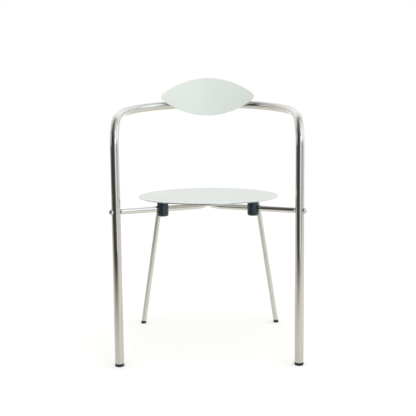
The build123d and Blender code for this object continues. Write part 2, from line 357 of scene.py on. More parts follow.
@dataclass(frozen=True)
class MouldedPlastic(Finish):
    """Nylon or rubber, moulded in a spark-eroded tool.

    It gives a dry, dark skin with a fine pebble grain and faint flow clouds.
    """

    pebble: float = 0.7
    pebble_depth: float = 0.14
    pebble_strength: float = 0.6
    cloud: float = 16.0
    cloud_octaves: float = 4.0
    flow_span: tuple[float, float] = (0.35, 0.75)
    flow_colour: str = "#1B2930"
    wear_span: tuple[float, float] = (0.3, 0.7)
    smoother: float = 0.05
    rougher: float = 0.07
    gloss: float = 0.5
    gloss_colour: str = WHITE
    dust_colour: str = "#4C4A46"
    dust_cover: float = 0.8
    dust_height: float = 0.0

    def detail(self, tree: NodeTree, shader: Node, place: NodeSocket) -> None:
        """Draw the grain, the flow clouds and the dust that the floor leaves.

        Args:
            tree: Node tree of the material.
            shader: Its shader.
            place: Coordinates to draw the pattern in, in metres.
        """
        cloud = add_node(tree, "ShaderNodeTexNoise", {
            "Vector": place, "Scale": per_metre(self.cloud)[0], "Detail": self.cloud_octaves})
        low, high = self.flow_span
        flow = add_node(tree, "ShaderNodeMapRange", {"Value": cloud, "From Min": low, "From Max": high})
        skin = add_node(tree, "ShaderNodeMix", {
            "Factor": flow, "A": linear(self.colour), "B": linear(self.flow_colour)}, data_type="RGBA")
        if self.dust_height:
            height = add_node(tree, "ShaderNodeSeparateXYZ", {"Vector": place})
            near_floor = add_node(tree, "ShaderNodeMapRange", {
                "Value": height.outputs["Z"], "From Min": self.dust_height * MM, "From Max": 0.0,
                "To Max": self.dust_cover})
            patchy = add_node(tree, "ShaderNodeMath", {0: near_floor, 1: cloud}, operation="MULTIPLY")
            skin = add_node(tree, "ShaderNodeMix", {
                "Factor": patchy, "A": skin, "B": linear(self.dust_colour)}, data_type="RGBA")
        low, high = self.wear_span
        worn = add_node(tree, "ShaderNodeMapRange", {
            "Value": cloud, "From Min": low, "From Max": high,
            "To Min": self.roughness - self.smoother, "To Max": self.roughness + self.rougher})
        # Spark grain is about 0.2 mm wide and is drawn coarser, so that it shows
        pebbles = add_node(tree, "ShaderNodeTexVoronoi", {
            "Vector": place, "Scale": per_metre(self.pebble)[0]}, feature="SMOOTH_F1")
        bump = add_node(tree, "ShaderNodeBump", {
            "Height": pebbles, "Strength": self.pebble_strength, "Distance": self.pebble_depth * MM},
            invert=True)
        feed(tree, shader, {
            "Base Color": skin, "Roughness": worn, "Normal": bump,
            "Specular IOR Level": self.gloss, "Specular Tint": linear(self.gloss_colour)})


# Drawn aluminium tube, belt-ground and buffed: bands of the room run along it, as in a mirror
TUBE_ALUMINIUM = BuffedMetal("belt_polished_aluminium_tube", "#E0DFDB", 0.09, Space.TUBE)
# Thinner tube, buffed at the front, left ground on the rear legs: there the bands blur to soft shades
LEG_ALUMINIUM = BuffedMetal("belt_ground_aluminium_tube", "#EEEEEB", 0.12, Space.TUBE,
                            shade_colour="#E4E3DF", ground=0.27, ground_from=520.0, ground_to=660.0)
# Aluminium turned on a lathe: rings of tool marks, satin
TURNED_ALUMINIUM = BuffedMetal("turned_aluminium", "#CFCFCD", 0.26, shade_colour="#BDBDBB",
                               haze_size=(4.0, 4.0, 4.0), line_size=(0.5, 6.0, 6.0), line_depth=0.003)
# Stainless ball, tumbled to satin: one soft bright spot, no clear mirror
BALL_STEEL = BuffedMetal("tumbled_stainless_steel", "#E4E3E0", 0.3, haze=0.05, shade_colour="#D6D5D2",
                         haze_size=(5.0, 5.0, 5.0), line_size=(3.0, 0.6, 3.0))
# Turned steel, zinc plated: a dull grey gleam, mottled by its crystals
ZINC_STEEL = ZincPlated("zinc_plated_steel", "#B9BBBC", 0.28)
# Sheet aluminium, powder coated: pale grey-green with an even, satin sheen
SAGE_COAT = PowderCoat("sage_powder_coat", "#E6ECE6", 0.38)
# Bare edge of the seat, scuffed bright along its rim: a thin silver line under the coated face
EDGE_ALUMINIUM = BuffedMetal("scuffed_aluminium_edge", "#E4E9EE", 0.24, haze=0.06, shade_colour="#D9DEE3",
                             haze_size=(9.0, 9.0, 9.0), line_size=(6.0, 6.0, 0.4))
# Moulded nylon: nearly black, with a cool gloss where its round sides catch the light
SLATE_NYLON = MouldedPlastic("moulded_slate_nylon", "#121D22", 0.36, gloss=0.95, gloss_colour="#DDF8FF")
# Soft rubber: drier than the nylon, grey with dust where it meets the floor
FOOT_RUBBER = MouldedPlastic("moulded_foot_rubber", "#171C1E", 0.6, pebble=1.2, flow_colour="#22282A",
                             dust_height=2.5)


def start_tree(name: str, inputs: dict[str, Given]) -> tuple[NodeTree, Node]:
    """Start a geometry tree.

    Args:
        name: Name of the tree.
        inputs: Kind of each named input after the geometry.

    Returns:
        The tree and the node that hands out its inputs.
    """
    tree = bpy.data.node_groups.new(name, "GeometryNodeTree")
    tree.interface.new_socket("Geometry", in_out="INPUT", socket_type="NodeSocketGeometry")
    for label, kind in inputs.items():
        tree.interface.new_socket(label, in_out="INPUT", socket_type=kind.value)
    tree.interface.new_socket("Geometry", in_out="OUTPUT", socket_type="NodeSocketGeometry")
    return tree, add_node(tree, "NodeGroupInput")


def end_tree(tree: NodeTree, shape: Node, finish: NodeSocket, smooth: bool) -> None:
    """End a geometry tree in realised, dressed geometry.

    Args:
        tree: Tree to end.
        shape: Node that gives the geometry.
        finish: Socket that gives the material.
        smooth: Whether the faces are shaded as one smooth surface.
    """
    real = add_node(tree, "GeometryNodeRealizeInstances", {"Geometry": shape})
    shaded = add_node(tree, "GeometryNodeSetShadeSmooth", {"Geometry": real, "Shade Smooth": smooth})
    dressed = add_node(tree, "GeometryNodeSetMaterial", {"Geometry": shaded, "Material": finish})
    add_node(tree, "NodeGroupOutput", {"Geometry": dressed})


def grow(name: str, start: Mesh, tree: NodeTree, values: dict[str, Any], wall: float = 0.0) -> Object:
    """Run a geometry tree and keep its result as a plain mesh.

    Args:
        name: Name of the piece.
        start: Mesh that the tree starts from.
        tree: Geometry tree.
        values: Value of each named input.
        wall: Thickness of the wall inside the grown skin, or zero for none.

    Returns:
        The piece, with no modifier left on it.
    """
    piece = put(name, start)
    shape = piece.modifiers.new("shape", "NODES")
    shape.node_group = tree
    for label, value in values.items():
        shape[tree.interface.items_tree[label].identifier] = value
    if wall:
        inside = piece.modifiers.new("wall", "SOLIDIFY")
        inside.thickness = wall
        inside.offset = INWARD
    graph = bpy.context.evaluated_depsgraph_get()
    mesh = bpy.data.meshes.new_from_object(piece.evaluated_get(graph))
    piece.modifiers.clear()
    piece.data = mesh
    mesh.name = name
    bpy.data.meshes.remove(start)
    return piece


def stand_for(piece: Object, node: str) -> Object:
    """Let a piece ride on the chair in place of a CAD node.

    Args:
        piece: The finished piece.
        node: CAD node that it stands for.

    Returns:
        The same piece.
    """
    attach(piece, ROOT)
    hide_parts(node)
    return piece


def dress(nodes: list[str], finish: Finish) -> list[Object]:
    """Give CAD nodes their finish.

    Args:
        nodes: Names of the nodes.
        finish: Their finish.

    Returns:
        The nodes' objects.
    """
    dressed = [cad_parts[node] for node in nodes]
    for node in dressed:
        node.data.materials.clear()
        node.data.materials.append(finish.material())
    return dressed


def on_both_sides(node: str) -> list[str]:
    """Names of a node's left and right twins."""
    return [f"{node}_{side.label}" for side in Side]


def front_leg_plane() -> Vector:
    """Point on the floor midway between the front legs."""
    low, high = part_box("front_foot_left")
    return Vector((0, (low.y + high.y) / 2, 0))


def bent_tube_tree() -> NodeTree:
    """Make the tree that bends a tube along the corners of its route.

    The skin carries the place of each point in the tube as it was before bending. Where the
    tube starts on a leg, its end is hollowed to sit on that leg.

    Returns:
        The tree.
    """
    tree, given = start_tree("bent_tube", {
        "Diameter": Given.SIZE, "Ring Spacing": Given.SIZE, "Sides": Given.COUNT,
        "Bend Steps": Given.COUNT, "Saddle Radius": Given.SIZE, "End Reach": Given.SIZE,
        "Finish": Given.FINISH})
    saddle = given.outputs["Saddle Radius"]
    route = add_node(tree, "GeometryNodeMeshToCurve", {"Mesh": given.outputs["Geometry"]})
    bend = add_node(tree, "GeometryNodeInputNamedAttribute", {"Name": BEND}, data_type="FLOAT")
    bent = add_node(tree, "GeometryNodeFilletCurve", {
        "Curve": route, "Count": given.outputs["Bend Steps"], "Radius": bend, "Limit Radius": True},
        mode="POLY")
    spaced = add_node(tree, "GeometryNodeResampleCurve", {
        "Curve": bent, "Length": given.outputs["Ring Spacing"]}, mode="LENGTH")
    along = add_node(tree, "GeometryNodeSplineParameter")
    place = add_node(tree, "GeometryNodeInputPosition")
    heading = add_node(tree, "GeometryNodeInputTangent")
    marked = add_node(tree, "GeometryNodeCaptureAttribute", domain="POINT")
    for kind, label in (("FLOAT", "Along"), ("VECTOR", "Centre"), ("VECTOR", "Run")):
        marked.capture_items.new(kind, label)
    feed(tree, marked, {
        "Geometry": spaced, "Along": along.outputs["Length"], "Centre": place, "Run": heading})
    radius = add_node(tree, "ShaderNodeMath", {0: given.outputs["Diameter"], 1: 2.0}, operation="DIVIDE")
    ring = add_node(tree, "GeometryNodeCurvePrimitiveCircle", {
        "Resolution": given.outputs["Sides"], "Radius": radius})
    traced = add_node(tree, "GeometryNodeCaptureAttribute", domain="POINT")
    traced.capture_items.new("VECTOR", "Around")
    feed(tree, traced, {"Geometry": ring, "Around": place})
    skin = add_node(tree, "GeometryNodeCurveToMesh", {"Curve": marked, "Profile Curve": traced})
    length = add_node(tree, "ShaderNodeCombineXYZ", {"Z": marked.outputs["Along"]})
    straight = add_node(tree, "ShaderNodeVectorMath", {
        0: traced.outputs["Around"], 1: length}, operation="ADD")
    kept = add_node(tree, "GeometryNodeStoreNamedAttribute", {
        "Geometry": skin, "Name": STRAIGHT, "Value": straight}, data_type="FLOAT_VECTOR", domain="POINT")
    # How far the leg's round side falls back from a point of the tube's end, seen from above
    aside = add_node(tree, "ShaderNodeVectorMath", {
        0: place, 1: marked.outputs["Centre"]}, operation="SUBTRACT")
    level = add_node(tree, "ShaderNodeVectorMath", {0: aside, 1: LEVEL}, operation="MULTIPLY")
    across = add_node(tree, "ShaderNodeVectorMath", {0: level, 1: level}, operation="DOT_PRODUCT")
    square = add_node(tree, "ShaderNodeMath", {0: saddle, 1: saddle}, operation="MULTIPLY")
    rest = add_node(tree, "ShaderNodeMath", {0: square, 1: across}, operation="SUBTRACT", use_clamp=True)
    reach = add_node(tree, "ShaderNodeMath", {0: rest}, operation="SQRT")
    back = add_node(tree, "ShaderNodeMath", {0: reach, 1: saddle}, operation="SUBTRACT")
    shift = add_node(tree, "ShaderNodeVectorMath", {
        0: marked.outputs["Run"], "Scale": back}, operation="SCALE")
    at_leg = add_node(tree, "FunctionNodeCompare", {
        "A": marked.outputs["Along"], "B": given.outputs["End Reach"]},
        data_type="FLOAT", operation="LESS_THAN")
    coped = add_node(tree, "GeometryNodeSetPosition", {
        "Geometry": kept, "Selection": at_leg, "Offset": shift})
    end_tree(tree, coped, given.outputs["Finish"], smooth=True)
    return tree


def turned_ring_tree() -> NodeTree:
    """Make the tree that puts a nut or washer on each point.

    A ring of rectangular section is cut back to its flats and to the cone that eases the rims of
    its two faces, and turned by the angle that its point carries.

    Returns:
        The tree.
    """
    tree, given = start_tree("turned_ring", {
        "Outer Radius": Given.SIZE, "Bore Radius": Given.SIZE, "Thickness": Given.SIZE,
        "Flat Radius": Given.SIZE, "Face Radius": Given.SIZE, "Sides": Given.COUNT,
        "Step": Given.SIZE, "Weld": Given.SIZE, "Finish": Given.FINISH})
    outer, bore, thickness = (
        given.outputs[label] for label in ("Outer Radius", "Bore Radius", "Thickness"))
    both = add_node(tree, "ShaderNodeMath", {0: outer, 1: bore}, operation="ADD")
    middle = add_node(tree, "ShaderNodeMath", {0: both, 1: 2.0}, operation="DIVIDE")
    width = add_node(tree, "ShaderNodeMath", {0: outer, 1: bore}, operation="SUBTRACT")
    circle = add_node(tree, "GeometryNodeCurvePrimitiveCircle", {
        "Resolution": given.outputs["Sides"], "Radius": middle})
    upright = add_node(tree, "GeometryNodeSetCurveNormal", {"Curve": circle}, mode="Z_UP")
    section = add_node(tree, "GeometryNodeCurvePrimitiveQuadrilateral", {
        "Width": width, "Height": thickness})
    divided = add_node(tree, "GeometryNodeResampleCurve", {
        "Curve": section, "Length": given.outputs["Step"]}, mode="LENGTH")
    blank = add_node(tree, "GeometryNodeCurveToMesh", {"Curve": upright, "Profile Curve": divided})
    place = add_node(tree, "GeometryNodeInputPosition")
    axes = add_node(tree, "ShaderNodeSeparateXYZ", {"Vector": place})
    level = add_node(tree, "ShaderNodeVectorMath", {0: place, 1: LEVEL}, operation="MULTIPLY")
    radius = add_node(tree, "ShaderNodeVectorMath", {0: level}, operation="LENGTH")
    angle = add_node(tree, "ShaderNodeMath", {
        0: axes.outputs["Y"], 1: axes.outputs["X"]}, operation="ARCTAN2")
    from_flat = add_node(tree, "ShaderNodeMath", {0: angle, 1: math.pi / NUT_FLATS}, operation="PINGPONG")
    lean = add_node(tree, "ShaderNodeMath", {0: from_flat}, operation="COSINE")
    flats = add_node(tree, "ShaderNodeMath", {
        0: given.outputs["Flat Radius"], 1: lean}, operation="DIVIDE")
    half = add_node(tree, "ShaderNodeMath", {0: thickness, 1: 2.0}, operation="DIVIDE")
    off_middle = add_node(tree, "ShaderNodeMath", {0: axes.outputs["Z"]}, operation="ABSOLUTE")
    depth = add_node(tree, "ShaderNodeMath", {0: half, 1: off_middle}, operation="SUBTRACT")
    cone = add_node(tree, "ShaderNodeMath", {
        0: depth, 1: 1 / math.tan(RIM_CONE), 2: given.outputs["Face Radius"]}, operation="MULTIPLY_ADD")
    flat_or_cone = add_node(tree, "ShaderNodeMath", {0: flats, 1: cone}, operation="MINIMUM")
    kept = add_node(tree, "ShaderNodeMath", {0: radius, 1: flat_or_cone}, operation="MINIMUM")
    shrink = add_node(tree, "ShaderNodeMath", {0: kept, 1: radius}, operation="DIVIDE")
    inward = add_node(tree, "ShaderNodeCombineXYZ", {"X": shrink, "Y": shrink, "Z": 1.0})
    cut = add_node(tree, "ShaderNodeVectorMath", {0: place, 1: inward}, operation="MULTIPLY")
    shaped = add_node(tree, "GeometryNodeSetPosition", {"Geometry": blank, "Position": cut})
    welded = add_node(tree, "GeometryNodeMergeByDistance", {
        "Geometry": shaped, "Distance": given.outputs["Weld"]})
    turn = add_node(tree, "GeometryNodeInputNamedAttribute", {"Name": TURN}, data_type="FLOAT")
    about = add_node(tree, "ShaderNodeCombineXYZ", {"Z": turn})
    points = add_node(tree, "GeometryNodeInstanceOnPoints", {
        "Points": given.outputs["Geometry"], "Instance": welded, "Rotation": about})
    end_tree(tree, points, given.outputs["Finish"], smooth=False)
    return tree


@dataclass
class TubeFrame:
    """Main tube of legs, arms and rail, and the two under-seat tubes with the rear legs."""

    frame_tube: float = 25.0
    frame_wall: float = 2.0
    leg_spacing: float = 506.0
    rail_set_back: float = 415.0
    rail_height: float = 731.0
    arm_rise: float = math.radians(6.1)
    elbow_radius: float = 82.0
    foot_height: float = 7.0
    under_tube: float = 16.0
    under_wall: float = 1.5
    under_height: float = 438.8
    front_angle: float = math.radians(26.0)
    front_curve: float = 60.0
    meeting_gap: float = 4.0
    meeting_length: float = 51.5
    rear_angle: float = math.radians(38.0)
    rear_curve: float = 130.0
    rear_leg_spread: float = 311.0
    rear_elbow: float = 40.0
    rear_foot_spread: float = 446.0
    rear_foot_set_back: float = 452.0
    rear_foot_height: float = 8.0
    saddle_fit: float = 0.2
    ring_spacing: float = 4.0
    sides: int = 48
    bend_steps: int = 64

    def build(self) -> list[Object]:
        """Make the three tubes.

        Returns:
            The pieces.
        """
        tree = bent_tube_tree()
        pieces = [self.tube(tree, "main_frame_tube", self.frame_route(), self.frame_tube, self.frame_wall,
                            TUBE_ALUMINIUM)]
        for side in Side:
            pieces.append(self.tube(tree, f"underframe_tube_{side.label}", self.under_route(side),
                                    self.under_tube, self.under_wall, LEG_ALUMINIUM, self.saddle_radius))
        return pieces

    @property
    def saddle_radius(self) -> float:
        """Radius of the hollow at the leg end of an under-seat tube."""
        return self.frame_tube / 2 + self.saddle_fit

    def frame_route(self) -> Route:
        """Corners of the main tube, each with its bend radius.

        Returns:
            Points from the right foot to the left foot, measured from the plane of the front legs.
        """
        half = self.leg_spacing / 2
        arm_height = self.rail_height - self.rail_set_back * math.tan(self.arm_rise)
        right = [(Vector((half, 0, self.foot_height)), 0.0),
                 (Vector((half, 0, arm_height)), self.elbow_radius),
                 (Vector((half, self.rail_set_back, self.rail_height)), half)]
        left = [(Vector((-point.x, point.y, point.z)), radius) for point, radius in reversed(right)]
        return right + left

    def under_route(self, side: Side) -> Route:
        """Corners of an under-seat tube, each with its bend radius.

        Args:
            side: Side of the tube.

        Returns:
            Points from the front leg to the rear foot.
        """
        half = self.leg_spacing / 2
        offset = (self.under_tube + self.meeting_gap) / 2
        joint = Vector((half, 0, self.under_height))
        front_run = Vector((-math.cos(self.front_angle), math.sin(self.front_angle), 0))
        rear_run = Vector((math.sin(self.rear_angle), math.cos(self.rear_angle), 0))
        front = joint + front_run * ((half - offset) / math.cos(self.front_angle))
        straight = (self.front_curve * math.tan((math.pi / 2 - self.front_angle) / 2)
                    + self.meeting_length + self.rear_curve * math.tan(self.rear_angle / 2))
        middle = front + Vector((0, straight, 0))
        rear = middle + rear_run * ((self.rear_leg_spread / 2 - offset) / math.sin(self.rear_angle))
        foot = Vector((self.rear_foot_spread / 2, self.rear_foot_set_back, 0))
        end = foot - (foot - rear).normalized() * self.rear_foot_height
        corners = [(joint + front_run * self.saddle_radius, 0.0), (front, self.front_curve),
                   (middle, self.rear_curve), (rear, self.rear_elbow), (end, 0.0)]
        return [(Vector((point.x * side.value, point.y, point.z)), radius) for point, radius in corners]

    def tube(self, tree: NodeTree, node: str, route: Route, diameter: float, wall: float, finish: Finish,
             saddle: float = 0.0) -> Object:
        """Make one bent tube in place of its CAD node.

        Args:
            tree: Tree that bends tubes.
            node: CAD node that the tube stands for.
            route: Corners with their bend radii.
            diameter: Outer diameter.
            wall: Wall thickness.
            finish: Finish of the tube.
            saddle: Radius of the hollow at its start, or zero for a square end.

        Returns:
            The piece.
        """
        places = [point * MM + front_leg_plane() for point, _ in route]
        line = bpy.data.meshes.new(node)
        line.from_pydata(places, [(i, i + 1) for i in range(len(places) - 1)], [])
        bend = line.attributes.new(BEND, "FLOAT", "POINT")
        bend.data.foreach_set("value", [radius * MM for _, radius in route])
        piece = grow(f"polished_{node}", line, tree, {
            "Diameter": diameter * MM, "Ring Spacing": self.ring_spacing * MM, "Sides": self.sides,
            "Bend Steps": self.bend_steps, "Saddle Radius": saddle * MM,
            "End Reach": self.ring_spacing * MM / 2, "Finish": finish.material()}, wall * MM)
        return stand_for(piece, node)


@dataclass(frozen=True)
class Arc:
    """Stretch of a plate's outline, from one direction out of its centre to another."""

    centre: float
    offset: float
    radius: float
    start: float
    end: float
    steps: int


@dataclass
class CoatedPlate:
    """Coated sheet plate with a rounded edge.

    A point of the plate is given by its distances from the middle along the outline's two axes,
    and by its depth below the front face.
    """

    thickness: float = 3.0
    edge: float = 0.9
    edge_finish: Finish = SAGE_COAT
    face_rings: int = 12
    edge_steps: int = 5

    def outline(self) -> list[Arc]:
        """Arcs of the outline, one after the other round it."""
        raise NotImplementedError

    def spot(self, across: float, up: float, depth: float) -> Vector:
        """Place on the chair of a point of the plate, in metres."""
        raise NotImplementedError

    def section(self) -> list[Triple]:
        """Rings of the plate, from the middle of one face over the edge to the other.

        Returns:
            Scale, inset and depth of each ring.
        """
        face = [(ring / self.face_rings, self.edge, 0.0) for ring in range(1, self.face_rings + 1)]
        turns = [math.pi / 2 * step / self.edge_steps for step in range(1, self.edge_steps + 1)]
        rounding = [(1.0, self.edge * (1 - math.sin(turn)), self.edge * (1 - math.cos(turn)))
                    for turn in turns]
        half = face + rounding
        return half + [(scale, inset, self.thickness - depth) for scale, inset, depth in reversed(half)]

    def build_plate(self, node: str) -> Object:
        """Make the plate in place of its CAD node.

        Args:
            node: CAD node that the plate stands for.

        Returns:
            The piece.
        """
        stations = [(arc, arc.start + (arc.end - arc.start) * step / arc.steps)
                    for arc in self.outline() for step in range(arc.steps)]
        shape = bmesh.new()
        rings = []
        for scale, inset, depth in self.section():
            ring = []
            for arc, angle in stations:
                across = arc.centre + (arc.radius - inset) * math.cos(angle)
                up = arc.offset + (arc.radius - inset) * math.sin(angle)
                ring.append(shape.verts.new(self.spot(across * scale, up * scale, depth)))
            rings.append((inset, ring))
        count = len(stations)
        for (inset, ring), (next_inset, next_ring) in zip(rings, rings[1:]):
            for place in range(count):
                onward = (place + 1) % count
                face = shape.faces.new((ring[place], ring[onward], next_ring[onward], next_ring[place]))
                face.material_index = int(min(inset, next_inset) < self.edge)
        for depth, (_, ring) in ((0.0, rings[0]), (self.thickness, rings[-1])):
            middle = shape.verts.new(self.spot(0.0, 0.0, depth))
            for place in range(count):
                shape.faces.new((middle, ring[place], ring[(place + 1) % count]))
        bmesh.ops.recalc_face_normals(shape, faces=shape.faces)
        for face in shape.faces:
            face.smooth = True
        mesh = bpy.data.meshes.new(f"coated_{node}")
        shape.to_mesh(mesh)
        shape.free()
        for finish in (SAGE_COAT, self.edge_finish):
            mesh.materials.append(finish.material())
        return stand_for(put(mesh.name, mesh), node)


@dataclass
class Seat(CoatedPlate):
    """Round seat plate on four moulded mounts, each held by a stud, washer and nut."""

    edge: float = 0.7
    edge_finish: Finish = EDGE_ALUMINIUM
    outline_steps: int = 240
    mount_diameter: float = 32.0
    nut_across_flats: float = 10.0
    stud_hole: float = 6.3
    rim_ease: float = 0.25
    ring_sides: int = 72
    ring_step: float = 0.2
    weld: float = 0.02
    nut_turns: tuple[float, ...] = (0.2, 0.75, 0.5, 0.05)
    radius: float = field(init=False)
    centre: Vector = field(init=False)

    def __post_init__(self) -> None:
        """Take the seat's place from the CAD."""
        low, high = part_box("seat_plate")
        self.radius = (high.x - low.x) / MM / 2
        self.centre = Vector((0, (low.y + high.y) / 2, high.z))

    def outline(self) -> list[Arc]:
        """One full circle, as wide as the CAD seat."""
        return [Arc(0.0, 0.0, self.radius, 0.0, 2 * math.pi, self.outline_steps)]

    def spot(self, across: float, up: float, depth: float) -> Vector:
        """Place on the level seat of a point of the plate."""
        return self.centre + Vector((across, up, -depth)) * MM

    def mount_axes(self) -> list[Vector]:
        """Points on the floor under the axes of the four mounts.

        The collar of a mount points at a leg, so the far sides of its box are a mount's radius
        away from the axis.

        Returns:
            The points.
        """
        radius = self.mount_diameter * MM / 2
        axes = []
        for side in Side:
            for row in ("front", "rear"):
                low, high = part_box(f"seat_mount_{row}_{side.label}")
                x = low.x + radius if side is Side.RIGHT else high.x - radius
                y = high.y - radius if row == "front" else low.y + radius
                axes.append(Vector((x, y, 0)))
        return axes

    def fixing(self, tree: NodeTree, node: str, flats: float) -> Object:
        """Put a nut or washer on each mount's stud, in place of its CAD node.

        Args:
            tree: Tree that makes nuts and washers.
            node: CAD node that they stand for.
            flats: Distance across the flats, or zero for a round washer.

        Returns:
            The piece.
        """
        low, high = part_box(node)
        axes = self.mount_axes()
        spread = max(axis.y for axis in axes) - min(axis.y for axis in axes)
        rim = (high.y - low.y - spread) / 2
        start = bpy.data.meshes.new(node)
        start.from_pydata([axis + Vector((0, 0, (low.z + high.z) / 2)) for axis in axes], [], [])
        turned = start.attributes.new(TURN, "FLOAT", "POINT")
        turned.data.foreach_set("value", [turn * 2 * math.pi / NUT_FLATS for turn in self.nut_turns])
        # Flats well outside its rim leave a washer round
        flat_radius = flats * MM / 2 if flats else 2 * rim
        outer = flat_radius / math.cos(math.pi / NUT_FLATS) if flats else rim
        piece = grow(f"turned_{node}", start, tree, {
            "Outer Radius": outer, "Bore Radius": self.stud_hole * MM / 2, "Thickness": high.z - low.z,
            "Flat Radius": flat_radius, "Face Radius": min(outer, flat_radius) - self.rim_ease * MM,
            "Sides": self.ring_sides, "Step": self.ring_step * MM, "Weld": self.weld * MM,
            "Finish": ZINC_STEEL.material()})
        return stand_for(piece, node)

    def build(self) -> list[Object]:
        """Make the plate, the nuts and the washers.

        Returns:
            The pieces.
        """
        tree = turned_ring_tree()
        return [self.build_plate("seat_plate"), self.fixing(tree, "seat_nuts", self.nut_across_flats),
                self.fixing(tree, "seat_washers", 0.0)]

    def dress(self) -> list[Object]:
        """Finish the mounts and the studs."""
        mounts = on_both_sides("seat_mount_front") + on_both_sides("seat_mount_rear")
        return dress(mounts, SLATE_NYLON) + dress(["seat_studs"], ZINC_STEEL)


@dataclass
class BackRest(CoatedPlate):
    """Leaf-shaped plate, rolled to the rail's curve and held on two padded studs."""

    height: float = 118.0
    edge_radius: float = 226.0
    tip_radius: float = 14.0
    stud_angle: float = math.radians(22.0)
    pad_thickness: float = 2.5
    long_steps: int = 120
    tip_steps: int = 16
    tubes: TubeFrame = field(default_factory=TubeFrame)
    front_radius: float = field(init=False)
    centre: Vector = field(init=False)

    def __post_init__(self) -> None:
        """Work out the roll of the leaf, and take its height from the CAD."""
        low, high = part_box("back_plate")
        along = math.cos(self.tubes.arm_rise)
        rail_radius = self.tubes.leg_spacing / 2
        stud = Vector((math.sin(self.stud_angle), math.cos(self.stud_angle) * along)) * rail_radius
        self.front_radius = stud.length - self.tubes.frame_tube / 2 - self.pad_thickness - self.thickness
        back = (self.tubes.rail_set_back - rail_radius * along) * MM
        self.centre = front_leg_plane() + Vector((0, back, (low.z + high.z) / 2))

    def outline(self) -> list[Arc]:
        """Two long arcs that meet in two rounded tips.

        Returns:
            The arcs, from the right tip round by the top.
        """
        drop = self.edge_radius - self.height / 2
        tip = math.sqrt((self.edge_radius - self.tip_radius) ** 2 - drop ** 2)
        lean = math.atan2(drop, tip)
        return [Arc(tip, 0.0, self.tip_radius, -lean, lean, self.tip_steps),
                Arc(0.0, -drop, self.edge_radius, lean, math.pi - lean, self.long_steps),
                Arc(-tip, 0.0, self.tip_radius, math.pi - lean, math.pi + lean, self.tip_steps),
                Arc(0.0, drop, self.edge_radius, math.pi + lean, 2 * math.pi - lean, self.long_steps)]

    def spot(self, across: float, up: float, depth: float) -> Vector:
        """Place on the rolled leaf of a point of the plate."""
        back = math.sqrt((self.front_radius + depth) ** 2 - across ** 2)
        return self.centre + Vector((across, back, up)) * MM

    def build(self) -> list[Object]:
        """Make the leaf."""
        return [self.build_plate("back_plate")]

    def dress(self) -> list[Object]:
        """Finish the pads, studs and cap nuts."""
        return (dress(on_both_sides("back_pad"), SLATE_NYLON) + dress(["back_studs"], ZINC_STEEL)
                + dress(["back_cap_nuts"], BALL_STEEL))


class Joints:
    """Plugs, studs, nuts and bolt that join the tubes."""

    def dress(self) -> list[Object]:
        """Finish the hardware.

        Returns:
            The nodes' objects.
        """
        return (dress(on_both_sides("leg_cap_nut") + ["centre_bolt", "centre_nut"], BALL_STEEL)
                + dress(on_both_sides("tube_end_plug"), TURNED_ALUMINIUM)
                + dress(on_both_sides("leg_stud"), ZINC_STEEL) + dress(["centre_spacer"], SLATE_NYLON))


class Feet:
    """Rubber caps under the four legs."""

    def dress(self) -> list[Object]:
        """Finish the caps."""
        return dress(on_both_sides("front_foot") + on_both_sides("rear_foot"), FOOT_RUBBER)


@dataclass
class PhotoCamera:
    """Camera at the photograph's viewing angle."""

    focal_px: float = 819.0
    frame_px: float = 416.0
    sensor: float = 36.0
    place: Triple = (0.0164, -2.4584, 0.7390)
    heading: float = math.radians(0.403)
    pitch: float = math.radians(7.42)
    roll: float = math.radians(0.555)
    nearest: float = 0.05

    def build(self) -> None:
        """Make the scene's camera."""
        data = bpy.data.cameras.new("photo_camera")
        data.sensor_width = self.sensor
        data.lens = self.focal_px / self.frame_px * self.sensor
        data.clip_start = self.nearest
        camera = put("photo_camera", data)
        turn = (Matrix.Rotation(self.heading, 4, "Z")
                @ Matrix.Rotation(math.pi / 2 - self.pitch, 4, "X")
                @ Matrix.Rotation(-self.roll, 4, "Z"))
        camera.matrix_world = Matrix.Translation(self.place) @ turn
        bpy.context.scene.camera = camera


@dataclass(frozen=True)
class Panel:
    """Part of the studio's walls that polished metal mirrors.

    It is full within the inner angle of its direction, and fades out to the outer angle. The
    angles are in degrees.
    """

    direction: Triple
    inner: float
    outer: float
    light: Triple


